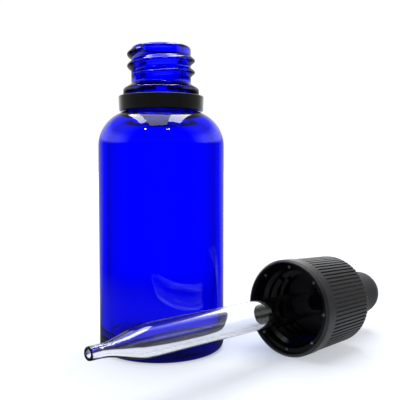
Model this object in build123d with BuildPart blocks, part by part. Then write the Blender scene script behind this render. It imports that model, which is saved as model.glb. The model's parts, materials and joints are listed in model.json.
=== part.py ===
from build123d import *
from math import atan2, cos, degrees, radians, sin, sqrt
import os

# A 30 ml glass dropper bottle: the bottle stands open on its foot, and its dropper (two-piece
# child-resistant cap, rubber bulb and glass pipette) lies beside it. Millimetres, +Z up, with the
# origin at the centre of the bottle's foot.

# Bottle body
body_diameter = 33.0
bottle_height = 79.5
body_wall = 2.3
floor_thickness = 3.5
heel_radius = 1.8
foot_ring_width = 2.0
push_up = 0.7
inner_heel_radius = 3.0
shoulder_ledge = 1.75  # from the bore out to the centre of the shoulder's arc

# Neck finish, an 18 mm thread. Drops are counted down from the lip.
neck_drop = 16.733  # where the neck meets the shoulder
bead_drop = 12.6  # underside of the bead
bead_side = 1.6
bead_slope = 1.3
bead_overhang = 1.025  # how far the bead stands out past the thread
bead_foot_radius = 0.3
bead_edge_radius = 0.8
bead_slope_radius = 0.7
neck_inset = 1.05  # how far the plain neck lies inside the bead
neck_fillet = 1.0
neck_wall = 2.525
lip_radius = 1.0
bore_flare = 1.6
thread_diameter = 17.85
thread_height = 1.1
thread_pitch = 3.0
thread_turns = 2.06
thread_start_drop = 7.75
thread_start_angle = 218.0  # degrees round the neck, counted from +X
thread_ridge_radius = 1.05

# Tamper-evident band, torn off and loose on the neck
band_drop = 16.8  # its lower edge
band_height = 3.9
band_wall = 0.95
band_taper = 0.15
band_edge_radius = 0.3
band_bead_clearance = 0.3
band_neck_clearance = 0.45
band_lip_height = 1.6
band_foot_chamfer = 0.6
band_foot_lift = 0.3  # the lip's lower corner stands this far over the chamfer

# Cap: the outer shell
rim_wall = 0.8
rim_flare = 0.6  # how much wider the mouth of the shell is, round the inner cap's foot
rim_recess_depth = 3.3
recess_step = 0.25
rim_band_width = 3.5
rim_chamfer = 0.5
rim_step = 0.15  # the rib crests start this far under the rim band
rib_count = 72
rib_depth = 0.3
rib_root = 0.3  # how far a rib runs under the rim band
rib_share = 0.55  # crest width as a share of the rib pitch
cap_draft = 0.40  # how much the radius falls along the ribs
cap_top_radius = 1.2
cap_top_thickness = 1.7
bulb_hole_clearance = 0.5

# Cap: the inner threaded shell
skirt_wall = 1.475
shell_clearance = 0.15
inner_edge_recess = 1.0  # from the outer rim in to the inner cap's edge
gasket_seat = 13.3  # from the outer rim in to the bottle's lip
gasket_thickness = 1.8
gasket_clearance = 0.275
plate_thickness = 1.6
foot_thickness = 1.0
bead_clearance = 0.2
bead_recess_depth = 3.4
thread_clearance = 0.35
inner_thread_turns = 2.4
inner_thread_start = 5.0
inner_thread_angle = 0.0
inner_thread_root_width = 1.7
inner_thread_crest_width = 0.7
thread_ridge_root = 0.25  # how deep the ridge is sunk into the skirt
thread_gap_count = 4
thread_gap_width = 1.2
thread_gap_angle = 45
bridge_count = 8
bridge_radius = 0.35
bridge_length = 0.45

# Clutch between the two cap shells
push_travel = 1.2
tooth_root = 0.3  # how deep a tooth is sunk into its plate
tooth_count = 12
tooth_length = 2.0
tooth_width = 1.6
tooth_height = 1.3
tooth_tip_gap = 0.2  # between the two rings of teeth while the cap is up
snap_bead_height = 0.3
snap_bead_width = 0.6
snap_bead_place = 9.6
snap_side_clearance = 0.2

# Rubber bulb
bulb_diameter = 12.4
bulb_length = 24.3  # from the waist to the top of the dome
bulb_wall = 1.2
bulb_taper = 0.1
bulb_waist_step = 0.65
bulb_socket_depth = 10.7
swivel_clearance = 0.07

# Glass pipette
pipette_diameter = 7.0
pipette_wall = 1.0
pipette_reach = 61.0  # from the outer rim to the tip
pipette_fit = 0.03
taper_length = 12.0
tip_straight = 2.5
tip_diameter = 2.7
tip_bore = 1.1
polish_radius = 0.4

# Where the dropper lies
rim_offset = 14.9  # from the body's side to the rim's centre, along +X
rim_forward = 11.85
dropper_heading = 42.6  # degrees from +X towards +Y, from the open rim to the bulb

os.makedirs("parts", exist_ok=True)

# Radii worked out from the sizes above
body_radius = body_diameter / 2
thread_radius = thread_diameter / 2
barrel_radius = thread_radius - thread_height
bore_radius = barrel_radius - neck_wall
shoulder_centre = bore_radius + shoulder_ledge
bead_radius = thread_radius + bead_overhang
neck_radius = bead_radius - neck_inset
band_bore = bead_radius + band_bead_clearance
band_radius = band_bore + band_wall
skirt_bore = thread_radius + thread_clearance
inner_cap_radius = skirt_bore + skirt_wall
shell_bore = inner_cap_radius + shell_clearance
rim_bore = shell_bore + rim_flare
rim_radius = rim_bore + rim_wall
bulb_radius = bulb_diameter / 2
waist_radius = bulb_radius - bulb_waist_step
pipette_radius = pipette_diameter / 2
pipette_bore_radius = pipette_radius - pipette_wall

# Stations up the bottle
shoulder_radius = body_radius - shoulder_centre
neck_foot = bottle_height - neck_drop
shoulder_height = neck_foot - sqrt(shoulder_radius**2 - (neck_radius - shoulder_centre) ** 2)
bead_bottom = bottle_height - bead_drop
bead_corner = bead_bottom + bead_side
bead_top = bead_corner + bead_slope
band_bottom = bottle_height - band_drop

# Stations along the dropper, counted from the outer rim towards the bulb
plate_bottom = gasket_seat + gasket_thickness
plate_top = plate_bottom + plate_thickness
ceiling = plate_top + 2 * tooth_height
cap_length = ceiling + cap_top_thickness
pipette_end = gasket_seat + bulb_socket_depth
bulb_top = plate_top + bulb_length

# The cap lies on the corner of its rim band and on the far end of its rib crests
crest_start = rim_radius - rim_step
crest_end = crest_start - cap_draft
rib_end = cap_length - cap_top_radius
lie_angle = degrees(atan2(rim_radius - crest_end, rib_end - rim_band_width))
rim_lift = rim_radius * cos(radians(lie_angle)) + rim_band_width * sin(radians(lie_angle))
heading = radians(dropper_heading)
level = cos(radians(lie_angle))
dropper = Plane(
    origin=(body_radius + rim_offset, -rim_forward, rim_lift),
    x_dir=(sin(heading), -cos(heading), 0),
    z_dir=(level * cos(heading), level * sin(heading), -sin(radians(lie_angle))),
)


def section(frame):
    """The half-plane that a round piece's outline is drawn on: x is the radius, y the axis."""
    return Plane(origin=frame.origin, x_dir=frame.x_dir, z_dir=-frame.y_dir)


def axis(frame):
    return Axis(frame.origin, frame.z_dir)


def thread_path(frame, radius, start, turns, angle, pitch=thread_pitch):
    """A helix round the frame's axis, from a height and an angle."""
    with BuildLine(frame.offset(start).rotated((0, 0, angle))) as path:
        Helix(pitch=pitch, height=pitch * turns, radius=radius)
    return path.line


# ---------------------------------------------------------------- bottle
stand = Plane.XY
foot_radius = body_radius - heel_radius
ring_inside = foot_radius - foot_ring_width
cavity_radius = body_radius - body_wall
cavity_shoulder = shoulder_radius - body_wall
cavity_top = shoulder_height + cavity_shoulder

with BuildPart() as bottle:
    with BuildSketch(section(stand)) as glass:
        with BuildLine():
            dome = (ring_inside**2 + push_up**2) / (2 * push_up)
            RadiusArc((0, push_up), (ring_inside, 0), dome)
            Line((ring_inside, 0), (foot_radius, 0))
            RadiusArc((foot_radius, 0), (body_radius, heel_radius), -heel_radius)
            Line((body_radius, heel_radius), (body_radius, shoulder_height))
            RadiusArc(
                (body_radius, shoulder_height), (neck_radius, neck_foot), -shoulder_radius
            )
            Polyline(
                (neck_radius, neck_foot),
                (neck_radius, bead_bottom),
                (bead_radius, bead_bottom),
                (bead_radius, bead_corner),
                (barrel_radius, bead_top),
                (barrel_radius, bottle_height),
                (bore_radius, bottle_height),
                (bore_radius, cavity_top),
                (shoulder_centre, cavity_top),
            )
            RadiusArc(
                (shoulder_centre, cavity_top), (cavity_radius, shoulder_height), cavity_shoulder
            )
            Polyline(
                (cavity_radius, shoulder_height),
                (cavity_radius, floor_thickness),
                (0, floor_thickness + push_up / 2),
                (0, push_up),
            )
        make_face()
        corner_radii = {
            (neck_radius, neck_foot): neck_fillet,
            (neck_radius, bead_bottom): bead_foot_radius,
            (bead_radius, bead_bottom): bead_foot_radius,
            (bead_radius, bead_corner): bead_edge_radius,
            (barrel_radius, bead_top): bead_slope_radius,
            (barrel_radius, bottle_height): lip_radius,
            (bore_radius, bottle_height): lip_radius,
            (bore_radius, cavity_top): bore_flare,
            (cavity_radius, floor_thickness): inner_heel_radius,
        }
        for place, radius in corner_radii.items():
            corner = glass.vertices().sort_by_distance((*place, 0))
            fillet(corner[0], radius)
    revolve(axis=axis(stand))
    ridge_centre = thread_radius - thread_ridge_radius
    thread_start = bottle_height - thread_start_drop
    path = thread_path(stand, ridge_centre, thread_start, thread_turns, thread_start_angle)
    with BuildSketch(Plane(origin=path @ 0, z_dir=path % 0)):
        Circle(thread_ridge_radius)
    sweep(path=path, is_frenet=True)
    with Locations(path @ 0, path @ 1):
        Sphere(thread_ridge_radius)

# ----------------------------------------------------------- tamper band
band_top = band_bottom + band_height
band_lip = neck_radius + band_neck_clearance
lip_top = band_bottom + band_foot_chamfer + band_lip_height

with BuildPart() as tamper_band:
    with BuildSketch(section(stand)) as ring:
        with BuildLine():
            Polyline(
                (band_radius - band_taper, band_bottom),
                (band_radius, band_top),
                (band_bore, band_top),
                (band_bore, lip_top + band_foot_chamfer),
                (band_lip, lip_top),
                (band_lip, band_bottom + band_foot_chamfer + band_foot_lift),
                (band_lip + band_foot_chamfer, band_bottom),
                close=True,
            )
        make_face()
        outer_corners = ring.vertices().sort_by(Axis.X)[-2:]
        fillet(outer_corners, band_edge_radius)
    revolve(axis=axis(stand))

# ------------------------------------------------------------- outer cap
valley_start = crest_start - rib_depth
valley_end = crest_end - rib_depth
snap_radius = shell_bore - snap_bead_height
half_snap = snap_bead_width / 2
hole_radius = bulb_radius + bulb_hole_clearance
tooth_circle = (hole_radius + shell_bore) / 2
crown_radius = crest_end - cap_top_radius  # where the ribs run out on the top face
rib_foot = (shell_bore + valley_end) / 2  # inside the shell's wall

with BuildPart() as rib:
    with BuildSketch(Plane.XZ):
        with BuildLine():
            Polyline(
                (crown_radius, rib_end),
                (rib_foot, rib_end),
                (rib_foot, rim_band_width - rib_root),
                (crest_start, rim_band_width - rib_root),
                (crest_end, rib_end),
            )
            RadiusArc((crest_end, rib_end), (crown_radius, cap_length), -cap_top_radius)
            Line((crown_radius, cap_length), (crown_radius, rib_end))
        make_face()
    revolve(axis=Axis.Z, revolution_arc=360 / rib_count * rib_share)

with BuildPart(dropper) as outer_cap:
    with BuildSketch(section(dropper)):
        with BuildLine():
            Polyline(
                (rim_bore, 0),
                (rim_radius - rim_chamfer, 0),
                (rim_radius, rim_chamfer),
                (rim_radius, rim_band_width),
                (valley_start, rim_band_width),
                (valley_end, rib_end),
            )
            RadiusArc(
                (valley_end, rib_end),
                (crown_radius, cap_length - rib_depth),
                rib_depth - cap_top_radius,
            )
            Polyline(
                (crown_radius, cap_length - rib_depth),
                (crown_radius, cap_length),
                (hole_radius, cap_length),
                (hole_radius, ceiling),
                (shell_bore, ceiling),
                (shell_bore, snap_bead_place + half_snap),
                (snap_radius, snap_bead_place + half_snap / 2),
                (snap_radius, snap_bead_place - half_snap / 2),
                (shell_bore, snap_bead_place - half_snap),
                (shell_bore, rim_recess_depth + recess_step),
                (rim_bore, rim_recess_depth),
                (rim_bore, 0),
            )
        make_face()
    revolve(axis=axis(dropper))
    with PolarLocations(0, rib_count, start_angle=-90 - 180 / rib_count * rib_share):
        add(rib.part)
    with BuildSketch(dropper.offset(ceiling + tooth_root)):
        with PolarLocations(tooth_circle, tooth_count):
            Rectangle(tooth_length, tooth_width)
    extrude(amount=-(tooth_height - tooth_tip_gap + tooth_root))

# ------------------------------------------------------------- inner cap
ridge_crest = barrel_radius + thread_clearance
bead_recess = bead_radius + bead_clearance
recess_end = inner_edge_recess + bead_recess_depth
groove_bottom = snap_bead_place - half_snap - push_travel - snap_side_clearance
groove_top = snap_bead_place + half_snap + snap_side_clearance
groove_radius = snap_radius - shell_clearance
plate_hole = waist_radius + swivel_clearance
foot_flange_radius = rim_bore - shell_clearance

# The ridge's flanks run on into the skirt's wall, so its half-width there is greater
flank = (inner_thread_root_width - inner_thread_crest_width) / 2 / (skirt_bore - ridge_crest)
sunk_half = inner_thread_root_width / 2 + flank * thread_ridge_root

with BuildPart() as ridge:
    path = thread_path(
        Plane.XY, skirt_bore, inner_thread_start, inner_thread_turns, inner_thread_angle
    )
    outward = Plane.XY.rotated((0, 0, inner_thread_angle)).x_dir
    with BuildSketch(Plane(origin=path @ 0, x_dir=outward, z_dir=path % 0)):
        with BuildLine():
            Polyline(
                (thread_ridge_root, -sunk_half),
                (ridge_crest - skirt_bore, -inner_thread_crest_width / 2),
                (ridge_crest - skirt_bore, inner_thread_crest_width / 2),
                (thread_ridge_root, sunk_half),
                close=True,
            )
        make_face()
    sweep(path=path, is_frenet=True)
    ridge_middle = inner_thread_start + thread_pitch * inner_thread_turns / 2
    with BuildSketch(Plane.XY.offset(ridge_middle)):
        with PolarLocations(ridge_crest, thread_gap_count, start_angle=thread_gap_angle):
            Rectangle(2 * (skirt_bore - ridge_crest), thread_gap_width)
    extrude(amount=gasket_seat, both=True, mode=Mode.SUBTRACT)

with BuildPart(dropper) as inner_cap:
    with BuildSketch(section(dropper)):
        with BuildLine():
            Polyline(
                (bead_recess, inner_edge_recess),
                (foot_flange_radius, inner_edge_recess),
                (foot_flange_radius, inner_edge_recess + foot_thickness),
                (inner_cap_radius, inner_edge_recess + foot_thickness),
                (inner_cap_radius, groove_bottom),
                (groove_radius, groove_bottom),
                (groove_radius, groove_top),
                (inner_cap_radius, groove_top),
                (inner_cap_radius, plate_top),
                (plate_hole, plate_top),
                (plate_hole, plate_bottom),
                (skirt_bore, plate_bottom),
                (skirt_bore, recess_end),
                (bead_recess, recess_end - (bead_recess - skirt_bore)),
                close=True,
            )
        make_face()
    revolve(axis=axis(dropper))
    add(ridge.part)
    with BuildSketch(dropper.offset(plate_top - tooth_root)):
        with PolarLocations(tooth_circle, tooth_count, start_angle=180 / tooth_count):
            Rectangle(tooth_length, tooth_width)
    extrude(amount=tooth_height + tooth_root)
    with BuildSketch(dropper.offset(inner_edge_recess + bridge_length)):
        with PolarLocations(bead_recess + bridge_radius, bridge_count):
            Circle(bridge_radius)
    extrude(amount=-2 * bridge_length)

# ------------------------------------------------------------------ bulb
gasket_radius = skirt_bore - gasket_clearance
socket_radius = pipette_radius + pipette_fit
cavity_bottom = pipette_end + bulb_wall
dome_radius = bulb_radius - bulb_taper
dome_start = bulb_top - dome_radius

with BuildPart() as bulb:
    with BuildSketch(section(dropper)):
        with BuildLine():
            Polyline(
                (socket_radius, gasket_seat),
                (gasket_radius, gasket_seat),
                (gasket_radius, plate_bottom - swivel_clearance),
                (waist_radius, plate_bottom - swivel_clearance),
                (waist_radius, plate_top + swivel_clearance),
                (bulb_radius, plate_top + swivel_clearance),
                (dome_radius, dome_start),
            )
            CenterArc((0, dome_start), dome_radius, 0, 90)
            Line((0, bulb_top), (0, bulb_top - bulb_wall))
            CenterArc((0, dome_start), dome_radius - bulb_wall, 0, 90)
            Polyline(
                (dome_radius - bulb_wall, dome_start),
                (bulb_radius - bulb_wall, cavity_bottom + bulb_wall),
                (socket_radius, pipette_end),
                (socket_radius, gasket_seat),
            )
        make_face()
    revolve(axis=axis(dropper))

# --------------------------------------------------------------- pipette
tip_radius = tip_diameter / 2
tip_bore_radius = tip_bore / 2
taper_end = tip_straight - pipette_reach
taper_start = taper_end + taper_length


def draw_down(wide, narrow):
    """The S-curve of a drawn glass tip: two tangent arcs of one radius."""
    drop = wide - narrow
    bend = (taper_length**2 + drop**2) / (4 * drop)
    middle = ((wide + narrow) / 2, (taper_start + taper_end) / 2)
    RadiusArc((wide, taper_start), middle, bend)
    RadiusArc(middle, (narrow, taper_end), -bend)


with BuildPart() as pipette:
    with BuildSketch(section(dropper)) as tube:
        with BuildLine():
            Line((pipette_radius, pipette_end), (pipette_radius, taper_start))
            draw_down(pipette_radius, tip_radius)
            Polyline(
                (tip_radius, taper_end),
                (tip_radius, -pipette_reach),
                (tip_bore_radius, -pipette_reach),
                (tip_bore_radius, taper_end),
            )
            draw_down(pipette_bore_radius, tip_bore_radius)
            Polyline(
                (pipette_bore_radius, taper_start),
                (pipette_bore_radius, pipette_end),
                (pipette_radius, pipette_end),
            )
        make_face()
        for place in ((tip_radius, -pipette_reach), (pipette_radius, pipette_end)):
            corner = tube.vertices().sort_by_distance((*place, 0))
            fillet(corner[0], polish_radius)
    revolve(axis=axis(dropper))

# ---------------------------------------------------------------- export
bottle.part.label = "bottle"
tamper_band.part.label = "tamper_band"
outer_cap.part.label = "outer_cap"
inner_cap.part.label = "inner_cap"
bulb.part.label = "bulb"
pipette.part.label = "pipette"
for piece in (bottle, tamper_band, outer_cap, inner_cap, bulb, pipette):
    export_step(piece.part, f"parts/{piece.part.label}.step")
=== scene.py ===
import json
import math

import bpy
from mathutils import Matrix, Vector


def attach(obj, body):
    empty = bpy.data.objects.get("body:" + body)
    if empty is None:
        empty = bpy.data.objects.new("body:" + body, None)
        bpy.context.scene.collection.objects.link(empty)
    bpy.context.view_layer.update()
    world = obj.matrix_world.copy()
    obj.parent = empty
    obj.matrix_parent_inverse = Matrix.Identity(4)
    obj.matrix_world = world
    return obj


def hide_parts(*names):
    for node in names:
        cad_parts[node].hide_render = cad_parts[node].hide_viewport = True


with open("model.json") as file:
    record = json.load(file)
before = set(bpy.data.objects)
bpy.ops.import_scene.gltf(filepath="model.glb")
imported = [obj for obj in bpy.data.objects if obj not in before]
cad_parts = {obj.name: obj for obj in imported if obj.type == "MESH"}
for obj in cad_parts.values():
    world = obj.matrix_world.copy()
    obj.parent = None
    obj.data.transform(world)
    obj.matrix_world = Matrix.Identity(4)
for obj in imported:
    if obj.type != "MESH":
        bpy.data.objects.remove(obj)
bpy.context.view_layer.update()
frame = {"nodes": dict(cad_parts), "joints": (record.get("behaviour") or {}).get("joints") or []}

# the dropper's own axes: out of the rim's centre, towards the bulb, and level to the side
capSpin = next(joint for joint in frame["joints"] if joint["name"] == "cap_spin")
rimCentre = Vector(capSpin["pos_m"])
alongDropper = Vector(capSpin["axis"]).normalized()
acrossDropper = Vector((alongDropper.y, -alongDropper.x, 0)).normalized()


def deselectAll():
    if bpy.context.mode != "OBJECT":
        bpy.ops.object.mode_set(mode="OBJECT")
    bpy.ops.object.select_all(action="DESELECT")


def activate(piece):
    deselectAll()
    piece.select_set(True)
    bpy.context.view_layer.objects.active = piece


def arcPoints(centre, radius, fromAngle, toAngle, steps):
    points = []  # ends included, angles in degrees
    for i in range(steps + 1):
        angle = math.radians(fromAngle + (toAngle - fromAngle) * i / steps)
        points.append((centre[0] + radius * math.cos(angle), centre[1] + radius * math.sin(angle)))
    return points


def roundedOutline(corners, steps=6):
    # corners are (radius, height, rounding); the rounded ones become arcs
    points = []
    for i, (x, y, rounding) in enumerate(corners):
        if rounding == 0:
            points.append((x, y))
            continue
        here = Vector((x, y))
        back = (Vector(corners[i - 1][:2]) - here).normalized()
        forth = (Vector(corners[(i + 1) % len(corners)][:2]) - here).normalized()
        half = back.angle(forth) / 2
        centre = here + (back + forth).normalized() * (rounding / math.sin(half))
        first = here + back * (rounding / math.tan(half)) - centre
        last = here + forth * (rounding / math.tan(half)) - centre
        startAngle = math.degrees(math.atan2(first.y, first.x))
        turn = (math.degrees(math.atan2(last.y, last.x)) - startAngle + 180) % 360 - 180
        points += arcPoints(centre, rounding, startAngle, startAngle + turn, steps)
    return points


def drawOutline(name, places):
    # one vertex, pulled along from place to place
    deselectAll()
    bpy.ops.mesh.primitive_plane_add(size=0.001, location=places[0])
    piece = bpy.context.object
    piece.name = name
    piece.data.name = name
    bpy.ops.object.mode_set(mode="EDIT")
    bpy.ops.mesh.merge(type="CENTER")
    for here, there in zip(places, places[1:]):
        bpy.ops.mesh.extrude_vertices_move(
            MESH_OT_extrude_verts_indiv={},
            TRANSFORM_OT_translate={"value": there - here},
        )
    bpy.ops.object.mode_set(mode="OBJECT")
    bpy.ops.object.transform_apply(location=True, rotation=True, scale=True)
    return piece


def spinOutline(name, outline, origin, along, across, steps):
    # outline is (radius, height) in millimetres, closed on itself or on the axis
    piece = drawOutline(name, [origin + across * (r / 1000) + along * (h / 1000) for r, h in outline])
    bpy.ops.object.mode_set(mode="EDIT")
    bpy.ops.mesh.select_all(action="SELECT")
    bpy.ops.mesh.spin(steps=steps, angle=2 * math.pi, center=origin, axis=along)
    bpy.ops.mesh.select_all(action="SELECT")
    bpy.ops.mesh.remove_doubles(threshold=2e-6)
    bpy.ops.mesh.normals_make_consistent(inside=False)
    bpy.ops.object.mode_set(mode="OBJECT")
    return piece


def smooth(piece, angle):
    activate(piece)
    bpy.ops.object.shade_smooth_by_angle(angle=math.radians(angle))


# a socket that can be written in sums
class Wire:
    def __init__(self, tree, socket):
        self.tree = tree
        self.socket = socket

    def maths(self, operation, *terms):
        node = self.tree.nodes.new("ShaderNodeMath")
        node.operation = operation
        for slot, term in zip(node.inputs, terms):
            if isinstance(term, Wire):
                self.tree.links.new(term.socket, slot)
            else:
                slot.default_value = term
        return Wire(self.tree, node.outputs[0])

    def __add__(self, other):
        return self.maths("ADD", self, other)

    def __sub__(self, other):
        return self.maths("SUBTRACT", self, other)

    def __rsub__(self, other):
        return self.maths("SUBTRACT", other, self)

    def __mul__(self, other):
        return self.maths("MULTIPLY", self, other)

    def __gt__(self, other):
        return self.maths("GREATER_THAN", self, other)

    def __lt__(self, other):
        return self.maths("LESS_THAN", self, other)

    def __abs__(self):
        return self.maths("ABSOLUTE", self)

    __radd__ = __add__
    __rmul__ = __mul__


# the nodes of one material, or of the world
class Recipe:
    def __init__(self, owner):
        self.owner = owner
        owner.use_nodes = True
        self.tree = owner.node_tree
        self.tree.nodes.clear()

    def node(self, kind, settings=None, values=None, out=0):
        node = self.tree.nodes.new("ShaderNode" + kind)
        for key, value in (settings or {}).items():
            if key == "stops":
                while len(node.color_ramp.elements) < len(value):
                    node.color_ramp.elements.new(0.5)
                for element, (position, colour) in zip(node.color_ramp.elements, value):
                    element.position = position
                    element.color = (*colour, 1)
            else:
                setattr(node, key, value)
        for key, value in (values or {}).items():
            if isinstance(value, Wire):
                self.tree.links.new(value.socket, node.inputs[key])
            else:
                node.inputs[key].default_value = value
        return Wire(self.tree, node.outputs[out])

    def finish(self, surface, volume=None, output="OutputMaterial"):
        end = self.tree.nodes.new("ShaderNode" + output)
        self.tree.links.new(surface.socket, end.inputs["Surface"])
        if volume:
            self.tree.links.new(volume.socket, end.inputs["Volume"])
        return self.owner


def newMaterial(name):
    return Recipe(bpy.data.materials.new(name))


def paint(piece, material):
    piece.data.materials.clear()
    piece.data.materials.append(material)


glasses = {
    "cobaltGlass": {
        "colour": (0.25, 0.32, 1.0, 1),  # what each surface lets in
        "index": 1.51,
        "waveSize": 90,
        "waveStretch": (1, 1, 0.25),
        "waveStrength": 0.25,
        "waveHeight": 0.00002,
        "depth": (0.0, 0.02, 0.935, 1),  # what is left after a thick wall
        "density": 1350,
    },
    "clearGlass": {
        "colour": (0.985, 0.99, 1.0, 1),
        "index": 1.5,
        "waveSize": 120,
        "waveStretch": (1, 1, 1),
        "waveStrength": 0.15,
        "waveHeight": 0.00001,
    },
}


def makeGlass(name):
    glass = glasses[name]
    r = newMaterial(name)
    place = r.node("TexCoord", out="Object")
    stretched = r.node("Mapping", values={"Vector": place, "Scale": glass["waveStretch"]})
    waves = r.node("TexNoise", values={"Vector": stretched, "Scale": glass["waveSize"], "Detail": 1.0})
    bump = r.node(
        "Bump",
        values={"Height": waves, "Strength": glass["waveStrength"], "Distance": glass["waveHeight"]},
    )
    surface = r.node(
        "BsdfPrincipled",
        values={
            "Base Color": glass["colour"],
            "Roughness": 0.0,
            "IOR": glass["index"],
            "Transmission Weight": 1.0,
            "Normal": bump,
        },
    )
    if "density" not in glass:
        return r.finish(surface)
    volume = r.node("VolumeAbsorption", values={"Color": glass["depth"], "Density": glass["density"]})
    return r.finish(surface, volume)


plastics = {
    "outerPlastic": {
        "dark": (0.017, 0.017, 0.0195),
        "light": (0.027, 0.027, 0.0305),
        "roughness": 0.38,
        "specular": 0.42,
    },
    # painted shade: the plastic inside the cap is made far darker than the outer plastic, for the shade in the
    # cap's hollow
    "innerPlasticPaintedShade": {
        "dark": (0.0016, 0.0016, 0.0022),
        "light": (0.0030, 0.0030, 0.0040),
        "roughness": 0.20,
        "specular": 0.15,
    },
    "bandPlastic": {
        "dark": (0.0030, 0.0030, 0.0038),
        "light": (0.0065, 0.0065, 0.0078),
        "roughness": 0.33,
        "specular": 0.36,
    },
}
mouldGrain = {
    "patchSize": 260.0,
    "grainSize": 9000.0,
    "grainDepth": 0.000012,
    "grainStrength": 0.35,
    "shineSpread": 0.14,
    "tornDepth": 0.0009,  # metres in from the outer rim
    "tornColour": (0.12, 0.12, 0.13, 1),
}


def makePlastic(name):
    finish = plastics[name]
    r = newMaterial(name)
    place = r.node("TexCoord", out="Object")
    patches = r.node("TexNoise", values={"Vector": place, "Scale": mouldGrain["patchSize"], "Detail": 3.0})
    colour = r.node("ValToRGB", {"stops": [(0.3, finish["dark"]), (0.75, finish["light"])]}, {"Fac": patches})
    grain = r.node("TexNoise", values={"Vector": place, "Scale": mouldGrain["grainSize"], "Detail": 2.0})
    bump = r.node(
        "Bump",
        values={
            "Height": grain,
            "Strength": mouldGrain["grainStrength"],
            "Distance": mouldGrain["grainDepth"],
        },
    )
    shine = patches * mouldGrain["shineSpread"] + (finish["roughness"] - mouldGrain["shineSpread"] / 2)
    if name == "innerPlasticPaintedShade":  # the torn bridges' ends are pale
        outwards = r.node("VectorMath", {"operation": "SUBTRACT"}, {0: place, 1: rimCentre})
        depth = r.node("VectorMath", {"operation": "DOT_PRODUCT"}, {0: outwards, 1: alongDropper}, out="Value")
        torn = depth < mouldGrain["tornDepth"]
        colour = r.node("Mix", {"data_type": "RGBA"}, {0: torn, 6: colour, 7: mouldGrain["tornColour"]}, out=2)
    surface = r.node(
        "BsdfPrincipled",
        values={
            "Base Color": colour,
            "Roughness": shine,
            "IOR": 1.5,
            "Specular IOR Level": finish["specular"],
            "Normal": bump,
        },
    )
    return r.finish(surface)


rubber = {
    "dark": (0.010, 0.010, 0.012),
    "light": (0.018, 0.018, 0.022),
    "roughness": 0.62,
    "shineSpread": 0.12,
    "sheen": 0.08,
    "patchSize": 420.0,
    "grainSize": 5200,
    "grainDepth": 0.00002,
    "grainStrength": 0.5,
}


def makeRubber():
    r = newMaterial("bulbRubber")
    place = r.node("TexCoord", out="Object")
    patches = r.node("TexNoise", values={"Vector": place, "Scale": rubber["patchSize"], "Detail": 4.0})
    colour = r.node("ValToRGB", {"stops": [(0.3, rubber["dark"]), (0.7, rubber["light"])]}, {"Fac": patches})
    grain = r.node("TexNoise", values={"Vector": place, "Scale": rubber["grainSize"], "Detail": 3.0})
    bump = r.node(
        "Bump",
        values={"Height": grain, "Strength": rubber["grainStrength"], "Distance": rubber["grainDepth"]},
    )
    surface = r.node(
        "BsdfPrincipled",
        values={
            "Base Color": colour,
            "Roughness": patches * rubber["shineSpread"] + (rubber["roughness"] - rubber["shineSpread"] / 2),
            "Sheen Weight": rubber["sheen"],
            "Sheen Roughness": 0.5,
            "Normal": bump,
        },
    )
    return r.finish(surface)


materials = {name: makeGlass(name) for name in glasses}
materials.update({name: makePlastic(name) for name in plastics})
materials["bulbRubber"] = makeRubber()
print("materials made")


bottleSize = {
    "body": 16.5,
    "height": 79.5,
    "wall": 2.3,
    "floor": 3.5,
    "floorRound": 3.0,  # where the floor runs up into the wall, inside
    "floorFlat": 6.0,
    "floorDome": 0.2,
    "heel": 1.8,
    "ringInside": 12.7,
    "pushUp": 0.7,
    "shoulder": 53.5,
    "shoulderRound": 9.45,
    "neck": 8.9,
    "bead": 9.95,
    "beadFoot": 66.9,
    "beadCorner": 68.5,
    "beadTop": 69.8,
    "beadRounds": (0.3, 0.8, 0.7),  # below, above, and where the barrel starts
    "barrel": 7.825,
    "bore": 5.3,
    "boreFlare": 1.6,
    "lipRound": 1.0,
    "steps": 180,  # about the axis
    "smoothUnder": 34,  # degrees
}


def bottleOutline():
    b = bottleSize
    shoulderCentre = b["body"] - b["shoulderRound"]
    neckReach = b["neck"] - shoulderCentre
    neckFoot = b["shoulder"] + math.sqrt(b["shoulderRound"] ** 2 - neckReach**2)
    endAngle = math.degrees(math.acos(neckReach / b["shoulderRound"]))
    inside = b["body"] - b["wall"]
    insideRound = b["shoulderRound"] - b["wall"]
    insideTop = b["shoulder"] + insideRound
    floorRise = b["floor"] + b["floorRound"]
    under = [(b["ringInside"] * t, b["pushUp"] * (1 - t * t)) for t in (0, 0.2, 0.4, 0.6, 0.8, 1)]
    heel = arcPoints((b["body"] - b["heel"], b["heel"]), b["heel"], -90, 0, 10)
    side = [(b["body"], b["heel"] + (b["shoulder"] - b["heel"]) * t / 6) for t in range(1, 6)]
    shoulder = arcPoints((shoulderCentre, b["shoulder"]), b["shoulderRound"], 0, endAngle - 1.5, 22)
    below, above, foot = b["beadRounds"]
    finish = roundedOutline(
        [
            (b["neck"], neckFoot - 1.0, 0),
            (b["neck"], neckFoot, 0),
            (b["neck"], b["beadFoot"], below),
            (b["bead"], b["beadFoot"], below),
            (b["bead"], b["beadCorner"], above),
            (b["barrel"], b["beadTop"], foot),
            (b["barrel"], b["height"], b["lipRound"]),
            (b["bore"], b["height"], b["lipRound"]),
            (b["bore"], insideTop, b["boreFlare"]),
            (shoulderCentre, insideTop, 0),
        ]
    )[2:-1]  # the first two and the last only steer the roundings
    innerShoulder = arcPoints((shoulderCentre, b["shoulder"]), insideRound, 90, 0, 18)
    innerSide = [(inside, b["shoulder"] - (b["shoulder"] - floorRise) * t / 5) for t in range(1, 5)]
    innerHeel = arcPoints((inside - b["floorRound"], floorRise), b["floorRound"], 0, -90, 10)
    floor = [(b["floorFlat"], b["floor"] + b["floorDome"] / 2), (0, b["floor"] + b["floorDome"])]
    return under + heel + side + shoulder + finish + innerShoulder + innerSide + innerHeel + floor


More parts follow.
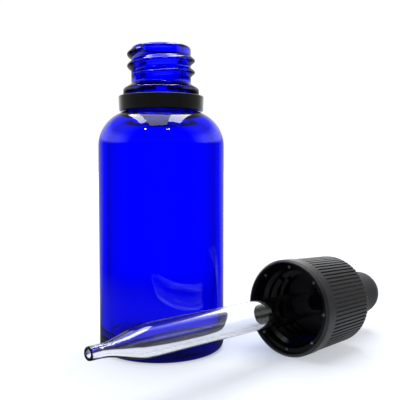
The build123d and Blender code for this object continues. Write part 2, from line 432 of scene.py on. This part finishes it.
threadSize = {
    "radius": 8.925,
    "pitch": 3.0,
    "turns": 2.06,
    "start": 71.75,  # height of its lower end
    "heading": 218.0,  # degrees about the neck
    "half": 1.42,  # half the ridge's width at its foot
    "fullness": 0.85,  # less makes a fuller ridge
    "sunk": 0.05,  # how deep the foot lies in the neck's wall
    "root": 0.6,  # and how much deeper its back
    "dome": 1.05,  # length of the rounded start
    "sinkDepth": 1.3,  # how far the end goes into the wall
    "sinkSteps": 14,
    "steps": 200,
}


def ridgeSection():
    # a bell that runs out into the neck's wall, about the middle of the ridge
    t = threadSize
    foot = bottleSize["barrel"] - t["sunk"]
    points = [(foot - t["root"], t["half"]), (foot - t["root"], -t["half"])]
    for k in range(15):
        share = 2 * k / 14 - 1
        bell = (0.5 + 0.5 * math.cos(math.pi * share)) ** t["fullness"]
        points.append((foot + (t["radius"] - foot) * bell, t["half"] * share))
    return points


def windRidge():
    # the ridge's section, wound about the neck from height 0
    t = threadSize
    section = [Vector((r / 1000, 0, z / 1000)) for r, z in ridgeSection()]
    ridge = drawOutline("threadRidge", section + section[:1])
    activate(ridge)
    wind = ridge.modifiers.new("wind", "SCREW")
    wind.axis = "Z"
    wind.angle = 2 * math.pi * t["turns"]
    wind.screw_offset = t["pitch"] * t["turns"] / 1000
    wind.steps = t["steps"]
    wind.render_steps = t["steps"]
    bpy.ops.object.modifier_apply(modifier="wind")
    bpy.ops.object.mode_set(mode="EDIT")
    bpy.ops.mesh.select_all(action="SELECT")
    bpy.ops.mesh.remove_doubles(threshold=1e-7)
    return ridge


def selectRing(ridge, step):
    # a ring's vertices lie in one plane through the axis, at the step's angle and height
    t = threadSize
    turns = t["turns"] * step / t["steps"]
    outwards = Vector((math.cos(2 * math.pi * turns), math.sin(2 * math.pi * turns), 0))
    bpy.ops.object.mode_set(mode="OBJECT")
    for part in (ridge.data.vertices, ridge.data.edges, ridge.data.polygons):
        part.foreach_set("select", [False] * len(part))
    for vertex in ridge.data.vertices:
        flat = Vector((vertex.co.x, vertex.co.y, 0))
        inPlane = flat.cross(outwards).length < 2e-5 and flat.dot(outwards) > 0
        if inPlane and abs(vertex.co.z - t["pitch"] * turns / 1000) < (t["half"] + 0.02) / 1000:
            vertex.select = True
    bpy.ops.object.mode_set(mode="EDIT")
    return outwards


def sinkEnd(ridge):
    # the last rings go deeper and deeper into the neck
    t = threadSize
    for k in range(t["sinkSteps"]):
        outwards = selectRing(ridge, t["steps"] - k)
        share = 1 - k / t["sinkSteps"]
        bpy.ops.transform.translate(value=outwards * (-t["sinkDepth"] / 1000 * share * share))
    selectRing(ridge, t["steps"])
    bpy.ops.mesh.edge_face_add()


def domeStart(ridge):
    # the first ring is closed and drawn out into a rounded end
    outwards = selectRing(ridge, 0)
    bpy.ops.mesh.edge_face_add()
    middle = outwards * (bottleSize["barrel"] / 1000 - 0.0002)
    done, width = 0.0, 1.0
    for k in range(1, 8):
        angle = math.pi / 2 * k / 7.4  # stops short of a point
        step = threadSize["dome"] / 1000 * math.sin(angle) - done
        done += step
        shrink = math.cos(angle) / width
        width = math.cos(angle)
        bpy.ops.mesh.extrude_region_move(TRANSFORM_OT_translate={"value": Vector((0, -step, 0))})
        centre = middle + Vector((0, -done, 0))
        bpy.ops.transform.resize(value=(shrink, shrink, shrink), center_override=centre)


def threadRidge():
    ridge = windRidge()
    sinkEnd(ridge)
    domeStart(ridge)
    bpy.ops.mesh.select_all(action="SELECT")
    bpy.ops.mesh.normals_make_consistent(inside=False)
    bpy.ops.transform.translate(value=(0, 0, threadSize["start"] / 1000))
    bpy.ops.object.mode_set(mode="OBJECT")
    ridge.rotation_euler = (0, 0, math.radians(threadSize["heading"]))
    activate(ridge)
    bpy.ops.object.transform_apply(location=True, rotation=True, scale=True)
    return ridge


def makeBottle():
    up, across = Vector((0, 0, 1)), Vector((1, 0, 0))
    bottle = spinOutline("glassBottle", bottleOutline(), Vector(), up, across, bottleSize["steps"])
    ridge = threadRidge()
    activate(bottle)
    join = bottle.modifiers.new("join", "BOOLEAN")
    join.operation = "UNION"
    join.solver = "EXACT"
    join.object = ridge
    bpy.ops.object.modifier_apply(modifier="join")
    bpy.data.objects.remove(ridge)
    smooth(bottle, bottleSize["smoothUnder"])
    paint(bottle, materials["cobaltGlass"])
    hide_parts("bottle")
    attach(bottle, "bottle")
    return bottle


bottle = makeBottle()
print("bottle made,", len(bottle.data.polygons), "faces")


pipetteSize = {
    "radius": 3.5,
    "bore": 2.5,
    "end": 24.0,  # in the bulb, from the rim's centre
    "reach": 61.0,  # the other way, to the tip
    "taper": 12.0,
    "straight": 2.5,
    "tip": 1.35,
    "tipBore": 0.7,
    "steps": 120,  # about the axis
    "smoothUnder": 40,  # degrees
}


def drawDown(wide, narrow, steps=20):
    # radius along the drawn tip, from wide to narrow
    p = pipetteSize
    start = p["straight"] - p["reach"] + p["taper"]
    return [
        (
            narrow + (wide - narrow) * (0.5 + 0.5 * math.cos(math.pi * k / steps)),
            start - p["taper"] * k / steps,
        )
        for k in range(steps + 1)
    ]


def pipetteOutline():
    p = pipetteSize
    tipRound = (p["tip"] - p["tipBore"]) / 2
    endRound = (p["radius"] - p["bore"]) / 2
    outer = drawDown(p["radius"], p["tip"])
    inner = drawDown(p["bore"], p["tipBore"])[::-1]
    mouth = arcPoints((p["tip"] - tipRound, tipRound - p["reach"]), tipRound, 0, -180, 10)
    wideEnd = arcPoints((p["radius"] - endRound, p["end"] - endRound), endRound, 180, 0, 10)
    low, high = outer[0][1], p["end"] - endRound
    heights = [low + (high - low) * t / 8 for t in range(1, 8)]
    tube = [(p["radius"], height) for height in heights[::-1]]
    core = [(p["bore"], height) for height in heights]
    return wideEnd + tube + outer + mouth + inner + core + wideEnd[:1]


def makePipette():
    p = pipetteSize
    outline = pipetteOutline()
    pipette = spinOutline("clearPipette", outline, rimCentre, alongDropper, acrossDropper, p["steps"])
    smooth(pipette, p["smoothUnder"])
    paint(pipette, materials["clearGlass"])
    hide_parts("pipette")
    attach(pipette, "pipette")
    return pipette


pipette = makePipette()
print("pipette made,", len(pipette.data.polygons), "faces")


# the plastic and rubber pieces keep their own shapes
for nodeName, finishName in (
    ("outer_cap", "outerPlastic"),
    # the inner cap gets the darker plastic, which paints the shade inside the cap
    ("inner_cap", "innerPlasticPaintedShade"),
    ("tamper_band", "bandPlastic"),
    ("bulb", "bulbRubber"),
):
    for slot in frame["nodes"][nodeName].material_slots:
        slot.material = materials[finishName]
print("cap, band and bulb painted")


studio = {
    "paper": (0.38, 0.40, 0.44, 1),
    "glowNear": (0.50, 0.515, 0.54),
    "glowFar": (1.0, 1.0, 1.0),
    "farAway": 0.9,  # metres from the bottle to where the floor is plain white
    "paintedBlueShadow": (0.30, 0.33, 0.46, 1),  # a blue-tinted shadow painted on the paper between the bottle and the cap, in place of light through the cobalt glass
    "paintedBlueShadowAt": (0.024, 0.003, 0),
    "paintedBlueShadowReach": (0.006, 0.022),  # all of it this near, none past the second
    "sheetEnd": -0.07,  # where the bright sheet stops on the near side
    "sheetFade": 0.04,
    "roomFrom": 0.07,  # and where glass sees the room in place of the sheet
    "roomTo": 0.13,
    "mirroredSheet": 0.16,  # how much of the sheet the glass mirrors
    "litSheet": 0.55,  # and how much of it lights the plastic
    "highBand": [(0.10, 0.0), (0.17, 1.0), (0.32, 1.0), (0.5, 0.25)],  # how far up the bright walls reach
    "backdrop": 1.02,  # what the camera sees past the floor
}

# brightness of the room by where a direction points: 0 is the near side, 1 straight back
room = {
    "lit": [(0.2, 0.20), (0.80, 0.45), (0.955, 1.9)],  # what lights the plastic
    "through": [(0.2, 0.25), (0.70, 0.32), (0.85, 1.9)],  # what is seen through the glass
    "low": [(0.2, 0.0), (0.80, 0.03), (1.0, 0.5)],  # what the glass mirrors, low in the room
    "high": [(0.25, 0.02), (0.45, 1.0), (1.0, 0.8)],  # and above it
}


def greyRamp(r, stops, value):
    return r.node("ValToRGB", {"stops": [(at, (grey,) * 3) for at, grey in stops]}, {"Fac": value})


def roomLight(r, direction, rays):
    back = r.node("SeparateXYZ", values={0: direction}, out=1) * 0.5 + 0.5
    up = r.node("SeparateXYZ", values={0: direction}, out=2)
    above = greyRamp(r, studio["highBand"], up)
    seen = {name: r.node("Emission", values={"Color": greyRamp(r, stops, back)}) for name, stops in room.items()}
    through, mirrored = rays
    light = r.node("MixShader", values={0: through, 1: seen["lit"], 2: seen["through"]})
    image = r.node("MixShader", values={0: above, 1: seen["low"], 2: seen["high"]})
    return r.node("MixShader", values={0: mirrored, 1: light, 2: image})


def glassRays(r, ownBounce):
    # rays that have passed through glass, and those mirrored off its face or off a far wall
    passes = r.node("LightPath", out="Transmission Depth")
    turned = r.node("LightPath", out="Ray Depth") - passes > ownBounce + 0.5
    nearWall = abs(passes - 2) > 1.5
    sharp = r.node("LightPath", out="Is Singular Ray")
    return passes > 0.5, sharp * turned * nearWall


def makeFloor():
    deselectAll()
    bpy.ops.mesh.primitive_plane_add(size=8, location=(0, 0, 0))
    floor = bpy.context.object
    floor.name = "studioFloor"
    r = newMaterial("paper")
    place = r.node("TexCoord", out="Object")
    distance = r.node("VectorMath", {"operation": "LENGTH"}, {0: place}, out="Value")
    stops = [(0.10, studio["glowNear"]), (1.0, studio["glowFar"])]
    glow = r.node("ValToRGB", {"stops": stops}, {"Fac": distance * (1 / studio["farAway"])})
    # painted shadow: the paper's glow turns darker and bluer in a round patch beside the bottle, standing in for
    # light through the cobalt glass
    full, end = studio["paintedBlueShadowReach"]
    apart = r.node("VectorMath", {"operation": "DISTANCE"}, {0: place, 1: studio["paintedBlueShadowAt"]}, out="Value")
    paintedBlueShadowMask = r.node("MapRange", values={0: apart, 1: end, 2: full})
    glow = r.node("Mix", {"data_type": "RGBA"}, {0: paintedBlueShadowMask, 6: glow, 7: studio["paintedBlueShadow"]}, out=2)
    sheet = r.node(
        "BsdfPrincipled",
        values={
            "Base Color": studio["paper"],
            "Roughness": 0.7,
            "Specular IOR Level": 0.1,
            "Emission Color": glow,
            "Emission Strength": 1.0,
        },
    )
    heading = r.node("VectorMath", {"operation": "NORMALIZE"}, {0: place})
    y = r.node("SeparateXYZ", values={0: place}, out=1)
    fadeFrom = studio["sheetEnd"] - studio["sheetFade"]
    behind = r.node("MapRange", values={0: y, 1: fadeFrom, 2: studio["sheetEnd"]})
    nearBy = r.node("MapRange", values={0: distance, 1: studio["roomTo"], 2: studio["roomFrom"]})
    within = r.node("Math", {"operation": "MINIMUM"}, {0: behind, 1: nearBy})
    through, mirrored = glassRays(r, 0)
    unmirrored = 1 - mirrored * (1 - studio["mirroredSheet"])
    litShare = through * (1 - studio["litSheet"]) + studio["litSheet"]
    seen = r.node("LightPath", out="Is Camera Ray")
    share = r.node("Math", {"operation": "MAXIMUM"}, {0: within * unmirrored * litShare, 1: seen})
    walls = roomLight(r, heading, (through, mirrored))
    paint(floor, r.finish(r.node("MixShader", values={0: share, 1: walls, 2: sheet})))


def makeWorld():
    bpy.context.scene.world = bpy.data.worlds.new("studio")
    r = Recipe(bpy.context.scene.world)
    light = roomLight(r, r.node("TexCoord", out="Generated"), glassRays(r, 1))
    plain = r.node("Emission", values={"Strength": studio["backdrop"]})
    seen = r.node("LightPath", out="Is Camera Ray")
    r.finish(r.node("MixShader", values={0: seen, 1: light, 2: plain}), output="OutputWorld")


# centre, width, depth and brightness of each panel, and what it points at
panels = {
    "leftStrip": ((-0.2125, 0.15, 0.55), (0.095, 0.54), 9.0, (-0.2125, 0.15, 0)),
    "rightStrip": ((0.15, 0.15, 0.55), (0.15, 0.54), 9.0, (0.15, 0.15, 0)),
    "middlePanel": ((-0.045, 0.075, 0.55), (0.24, 0.69), 2.5, (-0.045, 0.075, 0)),
    "leftSpot": ((-0.214, -0.28, 0.427), (0.045, 0.03), 26.0, (0, 0, 0.057)),
    "rightSpot": ((0.092, -0.331, 0.437), (0.055, 0.03), 26.0, (0, 0, 0.057)),
}


def softbox(name):
    place, size, brightness, target = panels[name]
    lamp = bpy.data.lights.new(name, "AREA")
    lamp.shape = "RECTANGLE"
    lamp.size, lamp.size_y = size
    lamp.energy = brightness * math.pi * size[0] * size[1]
    box = bpy.data.objects.new(name, lamp)
    bpy.context.scene.collection.objects.link(box)
    box.location = place
    box.rotation_euler = (Vector(target) - Vector(place)).to_track_quat("-Z", "Y").to_euler()


view = {
    "place": (0.0, -0.164, 0.0488),
    "turn": 3.57,  # degrees to the right of straight ahead
    "dip": 3.32,
    "lens": 55.44,
}


def makeCamera():
    data = bpy.data.cameras.new("camera")
    data.sensor_width = 36
    data.lens = view["lens"]
    data.clip_start = 0.005
    data.clip_end = 50
    camera = bpy.data.objects.new("camera", data)
    bpy.context.scene.collection.objects.link(camera)
    camera.location = view["place"]
    camera.rotation_euler = (math.radians(90 - view["dip"]), 0, math.radians(-view["turn"]))
    bpy.context.scene.camera = camera


makeFloor()
makeWorld()
for panelName in panels:
    softbox(panelName)
makeCamera()
bpy.context.scene.view_settings.view_transform = "Standard"
print("studio made")
